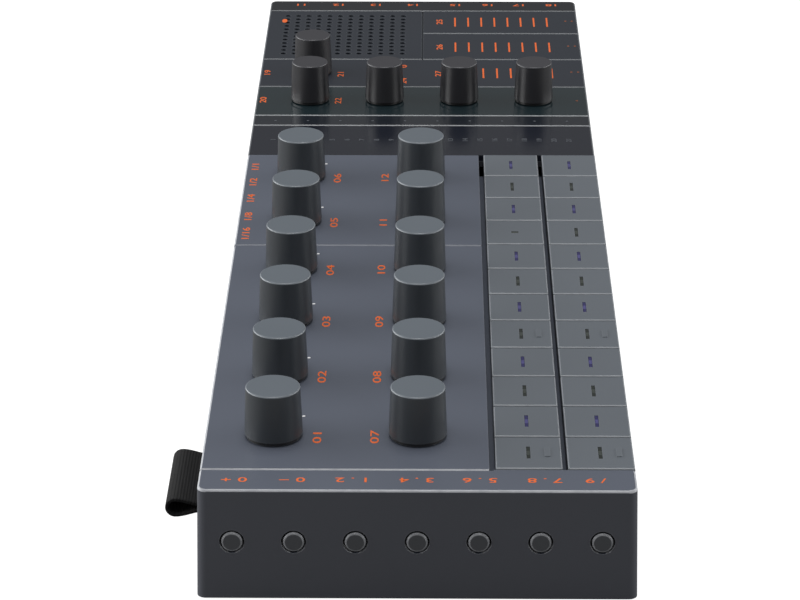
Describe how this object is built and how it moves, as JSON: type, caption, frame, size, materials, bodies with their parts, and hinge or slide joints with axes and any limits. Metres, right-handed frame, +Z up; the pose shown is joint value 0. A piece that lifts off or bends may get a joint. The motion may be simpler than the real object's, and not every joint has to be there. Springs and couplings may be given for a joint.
{
  "type": "drum machine",
  "caption": "Long slab drum machine with plain knobs, two rows of keys, end buttons, touch strips, a speaker grille and a fabric tag.",
  "frame": {"origin": "on the table, under the middle of the bounding box with the fabric tag included", "axes": "+X along the length towards the socket end, +Y to the rear with the tag, +Z up"},
  "size_m": [0.343, 0.1054, 0.0391],
  "materials": {
    "case_grey": "fine satin blue-grey moulding",
    "panel_dark": "semi-gloss near-black plate with printed marks",
    "cover_black": "textured black moulding",
    "board_green": "populated circuit board",
    "speaker_black": "black frame and paper cone",
    "foot_rubber": "matt rubber",
    "tag_fabric": "tightly woven black ribbon",
    "knob_grey": "smooth grey, black ring below",
    "knob_dark": "smooth near-black, black ring below",
    "key_grey": "satin grey with a small window",
    "button_black": "smooth dark cap"
  },
  "bodies": {
    "case": {"top_case": "case_grey", "sound_panel": "panel_dark", "bottom_cover": "cover_black", "main_board": "board_green", "speaker": "speaker_black", "feet": "foot_rubber", "fabric_tag": "tag_fabric"},
    "power_switch": {"power_switch": "button_black"},
    "rear_track_knob_1": {"rear_track_knob_1": "knob_grey"},
    "front_track_knob_1": {"front_track_knob_1": "knob_grey"},
    "rear_track_knob_2": {"rear_track_knob_2": "knob_grey"},
    "front_track_knob_2": {"front_track_knob_2": "knob_grey"},
    "rear_track_knob_3": {"rear_track_knob_3": "knob_grey"},
    "front_track_knob_3": {"front_track_knob_3": "knob_grey"},
    "rear_track_knob_4": {"rear_track_knob_4": "knob_grey"},
    "front_track_knob_4": {"front_track_knob_4": "knob_grey"},
    "rear_track_knob_5": {"rear_track_knob_5": "knob_grey"},
    "front_track_knob_5": {"front_track_knob_5": "knob_grey"},
    "rear_track_knob_6": {"rear_track_knob_6": "knob_grey"},
    "front_track_knob_6": {"front_track_knob_6": "knob_grey"},
    "sound_knob_1": {"sound_knob_1": "knob_dark"},
    "sound_knob_2": {"sound_knob_2": "knob_dark"},
    "sound_knob_3": {"sound_knob_3": "knob_dark"},
    "sound_knob_4": {"sound_knob_4": "knob_dark"},
    "level_knob": {"level_knob": "knob_dark"},
    "rear_key_1": {"rear_key_1": "key_grey"},
    "front_key_1": {"front_key_1": "key_grey"},
    "rear_key_2": {"rear_key_2": "key_grey"},
    "front_key_2": {"front_key_2": "key_grey"},
    "rear_key_3": {"rear_key_3": "key_grey"},
    "front_key_3": {"front_key_3": "key_grey"},
    "rear_key_4": {"rear_key_4": "key_grey"},
    "front_key_4": {"front_key_4": "key_grey"},
    "rear_key_5": {"rear_key_5": "key_grey"},
    "front_key_5": {"front_key_5": "key_grey"},
    "rear_key_6": {"rear_key_6": "key_grey"},
    "front_key_6": {"front_key_6": "key_grey"},
    "rear_key_7": {"rear_key_7": "key_grey"},
    "front_key_7": {"front_key_7": "key_grey"},
    "rear_key_8": {"rear_key_8": "key_grey"},
    "front_key_8": {"front_key_8": "key_grey"},
    "rear_key_9": {"rear_key_9": "key_grey"},
    "front_key_9": {"front_key_9": "key_grey"},
    "rear_key_10": {"rear_key_10": "key_grey"},
    "front_key_10": {"front_key_10": "key_grey"},
    "rear_key_11": {"rear_key_11": "key_grey"},
    "front_key_11": {"front_key_11": "key_grey"},
    "rear_key_12": {"rear_key_12": "key_grey"},
    "front_key_12": {"front_key_12": "key_grey"},
    "left_end_button_1": {"left_end_button_1": "button_black"},
    "left_end_button_2": {"left_end_button_2": "button_black"},
    "left_end_button_3": {"left_end_button_3": "button_black"},
    "left_end_button_4": {"left_end_button_4": "button_black"},
    "left_end_button_5": {"left_end_button_5": "button_black"},
    "left_end_button_6": {"left_end_button_6": "button_black"},
    "left_end_button_7": {"left_end_button_7": "button_black"},
    "right_end_button_1": {"right_end_button_1": "button_black"},
    "right_end_button_2": {"right_end_button_2": "button_black"},
    "right_end_button_3": {"right_end_button_3": "button_black"},
    "right_end_button_4": {"right_end_button_4": "button_black"}
  },
  "joints": [
    {"name": "power_slide", "type": "slide", "parent": "case", "child": "power_switch", "axis": [1, 0, 0], "range_m": [0, 0.0025]},
    {"name": "rear_track_turn_1", "type": "hinge", "parent": "case", "child": "rear_track_knob_1", "pos_m": [-0.1438, 0.02815, 0.0268], "axis": [0, 0, 1], "continuous": true},
    {"name": "front_track_turn_1", "type": "hinge", "parent": "case", "child": "front_track_knob_1", "pos_m": [-0.1438, -0.00425, 0.0268], "axis": [0, 0, 1], "continuous": true},
    {"name": "rear_track_turn_2", "type": "hinge", "parent": "case", "child": "rear_track_knob_2", "pos_m": [-0.1117, 0.02815, 0.0268], "axis": [0, 0, 1], "continuous": true},
    {"name": "front_track_turn_2", "type": "hinge", "parent": "case", "child": "front_track_knob_2", "pos_m": [-0.1117, -0.00425, 0.0268], "axis": [0, 0, 1], "continuous": true},
    {"name": "rear_track_turn_3", "type": "hinge", "parent": "case", "child": "rear_track_knob_3", "pos_m": [-0.0796, 0.02815, 0.0268], "axis": [0, 0, 1], "continuous": true},
    {"name": "front_track_turn_3", "type": "hinge", "parent": "case", "child": "front_track_knob_3", "pos_m": [-0.0796, -0.00425, 0.0268], "axis": [0, 0, 1], "continuous": true},
    {"name": "rear_track_turn_4", "type": "hinge", "parent": "case", "child": "rear_track_knob_4", "pos_m": [-0.0475, 0.02815, 0.0268], "axis": [0, 0, 1], "continuous": true},
    {"name": "front_track_turn_4", "type": "hinge", "parent": "case", "child": "front_track_knob_4", "pos_m": [-0.0475, -0.00425, 0.0268], "axis": [0, 0, 1], "continuous": true},
    {"name": "rear_track_turn_5", "type": "hinge", "parent": "case", "child": "rear_track_knob_5", "pos_m": [-0.0154, 0.02815, 0.0268], "axis": [0, 0, 1], "continuous": true},
    {"name": "front_track_turn_5", "type": "hinge", "parent": "case", "child": "front_track_knob_5", "pos_m": [-0.0154, -0.00425, 0.0268], "axis": [0, 0, 1], "continuous": true},
    {"name": "rear_track_turn_6", "type": "hinge", "parent": "case", "child": "rear_track_knob_6", "pos_m": [0.0167, 0.02815, 0.0268], "axis": [0, 0, 1], "continuous": true},
    {"name": "front_track_turn_6", "type": "hinge", "parent": "case", "child": "front_track_knob_6", "pos_m": [0.0167, -0.00425, 0.0268], "axis": [0, 0, 1], "continuous": true},
    {"name": "sound_turn_1", "type": "hinge", "parent": "case", "child": "sound_knob_1", "pos_m": [0.07855, 0.028, 0.0268], "axis": [0, 0, 1], "continuous": true},
    {"name": "sound_turn_2", "type": "hinge", "parent": "case", "child": "sound_knob_2", "pos_m": [0.07855, 0.0065, 0.0268], "axis": [0, 0, 1], "continuous": true},
    {"name": "sound_turn_3", "type": "hinge", "parent": "case", "child": "sound_knob_3", "pos_m": [0.07855, -0.015, 0.0268], "axis": [0, 0, 1], "continuous": true},
    {"name": "sound_turn_4", "type": "hinge", "parent": "case", "child": "sound_knob_4", "pos_m": [0.07855, -0.0365, 0.0268], "axis": [0, 0, 1], "continuous": true},
    {"name": "level_turn", "type": "hinge", "parent": "case", "child": "level_knob", "pos_m": [0.10255, 0.028, 0.0268], "axis": [0, 0, 1], "continuous": true},
    {"name": "rear_press_1", "type": "slide", "parent": "case", "child": "rear_key_1", "axis": [0, 0, -1], "range_m": [0, 0.0008], "stiffness_N_per_m": 500, "springref_m": -0.0004},
    {"name": "front_press_1", "type": "slide", "parent": "case", "child": "front_key_1", "axis": [0, 0, -1], "range_m": [0, 0.0008], "stiffness_N_per_m": 500, "springref_m": -0.0004},
    {"name": "rear_press_2", "type": "slide", "parent": "case", "child": "rear_key_2", "axis": [0, 0, -1], "range_m": [0, 0.0008], "stiffness_N_per_m": 500, "springref_m": -0.0004},
    {"name": "front_press_2", "type": "slide", "parent": "case", "child": "front_key_2", "axis": [0, 0, -1], "range_m": [0, 0.0008], "stiffness_N_per_m": 500, "springref_m": -0.0004},
    {"name": "rear_press_3", "type": "slide", "parent": "case", "child": "rear_key_3", "axis": [0, 0, -1], "range_m": [0, 0.0008], "stiffness_N_per_m": 500, "springref_m": -0.0004},
    {"name": "front_press_3", "type": "slide", "parent": "case", "child": "front_key_3", "axis": [0, 0, -1], "range_m": [0, 0.0008], "stiffness_N_per_m": 500, "springref_m": -0.0004},
    {"name": "rear_press_4", "type": "slide", "parent": "case", "child": "rear_key_4", "axis": [0, 0, -1], "range_m": [0, 0.0008], "stiffness_N_per_m": 500, "springref_m": -0.0004},
    {"name": "front_press_4", "type": "slide", "parent": "case", "child": "front_key_4", "axis": [0, 0, -1], "range_m": [0, 0.0008], "stiffness_N_per_m": 500, "springref_m": -0.0004},
    {"name": "rear_press_5", "type": "slide", "parent": "case", "child": "rear_key_5", "axis": [0, 0, -1], "range_m": [0, 0.0008], "stiffness_N_per_m": 500, "springref_m": -0.0004},
    {"name": "front_press_5", "type": "slide", "parent": "case", "child": "front_key_5", "axis": [0, 0, -1], "range_m": [0, 0.0008], "stiffness_N_per_m": 500, "springref_m": -0.0004},
    {"name": "rear_press_6", "type": "slide", "parent": "case", "child": "rear_key_6", "axis": [0, 0, -1], "range_m": [0, 0.0008], "stiffness_N_per_m": 500, "springref_m": -0.0004},
    {"name": "front_press_6", "type": "slide", "parent": "case", "child": "front_key_6", "axis": [0, 0, -1], "range_m": [0, 0.0008], "stiffness_N_per_m": 500, "springref_m": -0.0004},
    {"name": "rear_press_7", "type": "slide", "parent": "case", "child": "rear_key_7", "axis": [0, 0, -1], "range_m": [0, 0.0008], "stiffness_N_per_m": 500, "springref_m": -0.0004},
    {"name": "front_press_7", "type": "slide", "parent": "case", "child": "front_key_7", "axis": [0, 0, -1], "range_m": [0, 0.0008], "stiffness_N_per_m": 500, "springref_m": -0.0004},
    {"name": "rear_press_8", "type": "slide", "parent": "case", "child": "rear_key_8", "axis": [0, 0, -1], "range_m": [0, 0.0008], "stiffness_N_per_m": 500, "springref_m": -0.0004},
    {"name": "front_press_8", "type": "slide", "parent": "case", "child": "front_key_8", "axis": [0, 0, -1], "range_m": [0, 0.0008], "stiffness_N_per_m": 500, "springref_m": -0.0004},
    {"name": "rear_press_9", "type": "slide", "parent": "case", "child": "rear_key_9", "axis": [0, 0, -1], "range_m": [0, 0.0008], "stiffness_N_per_m": 500, "springref_m": -0.0004},
    {"name": "front_press_9", "type": "slide", "parent": "case", "child": "front_key_9", "axis": [0, 0, -1], "range_m": [0, 0.0008], "stiffness_N_per_m": 500, "springref_m": -0.0004},
    {"name": "rear_press_10", "type": "slide", "parent": "case", "child": "rear_key_10", "axis": [0, 0, -1], "range_m": [0, 0.0008], "stiffness_N_per_m": 500, "springref_m": -0.0004},
    {"name": "front_press_10", "type": "slide", "parent": "case", "child": "front_key_10", "axis": [0, 0, -1], "range_m": [0, 0.0008], "stiffness_N_per_m": 500, "springref_m": -0.0004},
    {"name": "rear_press_11", "type": "slide", "parent": "case", "child": "rear_key_11", "axis": [0, 0, -1], "range_m": [0, 0.0008], "stiffness_N_per_m": 500, "springref_m": -0.0004},
    {"name": "front_press_11", "type": "slide", "parent": "case", "child": "front_key_11", "axis": [0, 0, -1], "range_m": [0, 0.0008], "stiffness_N_per_m": 500, "springref_m": -0.0004},
    {"name": "rear_press_12", "type": "slide", "parent": "case", "child": "rear_key_12", "axis": [0, 0, -1], "range_m": [0, 0.0008], "stiffness_N_per_m": 500, "springref_m": -0.0004},
    {"name": "front_press_12", "type": "slide", "parent": "case", "child": "front_key_12", "axis": [0, 0, -1], "range_m": [0, 0.0008], "stiffness_N_per_m": 500, "springref_m": -0.0004},
    {"name": "left_end_press_1", "type": "slide", "parent": "case", "child": "left_end_button_1", "axis": [1, 0, 0], "range_m": [0, 0.0006], "stiffness_N_per_m": 600, "springref_m": -0.0003},
    {"name": "left_end_press_2", "type": "slide", "parent": "case", "child": "left_end_button_2", "axis": [1, 0, 0], "range_m": [0, 0.0006], "stiffness_N_per_m": 600, "springref_m": -0.0003},
    {"name": "left_end_press_3", "type": "slide", "parent": "case", "child": "left_end_button_3", "axis": [1, 0, 0], "range_m": [0, 0.0006], "stiffness_N_per_m": 600, "springref_m": -0.0003},
    {"name": "left_end_press_4", "type": "slide", "parent": "case", "child": "left_end_button_4", "axis": [1, 0, 0], "range_m": [0, 0.0006], "stiffness_N_per_m": 600, "springref_m": -0.0003},
    {"name": "left_end_press_5", "type": "slide", "parent": "case", "child": "left_end_button_5", "axis": [1, 0, 0], "range_m": [0, 0.0006], "stiffness_N_per_m": 600, "springref_m": -0.0003},
    {"name": "left_end_press_6", "type": "slide", "parent": "case", "child": "left_end_button_6", "axis": [1, 0, 0], "range_m": [0, 0.0006], "stiffness_N_per_m": 600, "springref_m": -0.0003},
    {"name": "left_end_press_7", "type": "slide", "parent": "case", "child": "left_end_button_7", "axis": [1, 0, 0], "range_m": [0, 0.0006], "stiffness_N_per_m": 600, "springref_m": -0.0003},
    {"name": "right_end_press_1", "type": "slide", "parent": "case", "child": "right_end_button_1", "axis": [-1, 0, 0], "range_m": [0, 0.0006], "stiffness_N_per_m": 600, "springref_m": -0.0003},
    {"name": "right_end_press_2", "type": "slide", "parent": "case", "child": "right_end_button_2", "axis": [-1, 0, 0], "range_m": [0, 0.0006], "stiffness_N_per_m": 600, "springref_m": -0.0003},
    {"name": "right_end_press_3", "type": "slide", "parent": "case", "child": "right_end_button_3", "axis": [-1, 0, 0], "range_m": [0, 0.0006], "stiffness_N_per_m": 600, "springref_m": -0.0003},
    {"name": "right_end_press_4", "type": "slide", "parent": "case", "child": "right_end_button_4", "axis": [-1, 0, 0], "range_m": [0, 0.0006], "stiffness_N_per_m": 600, "springref_m": -0.0003}
  ]
}
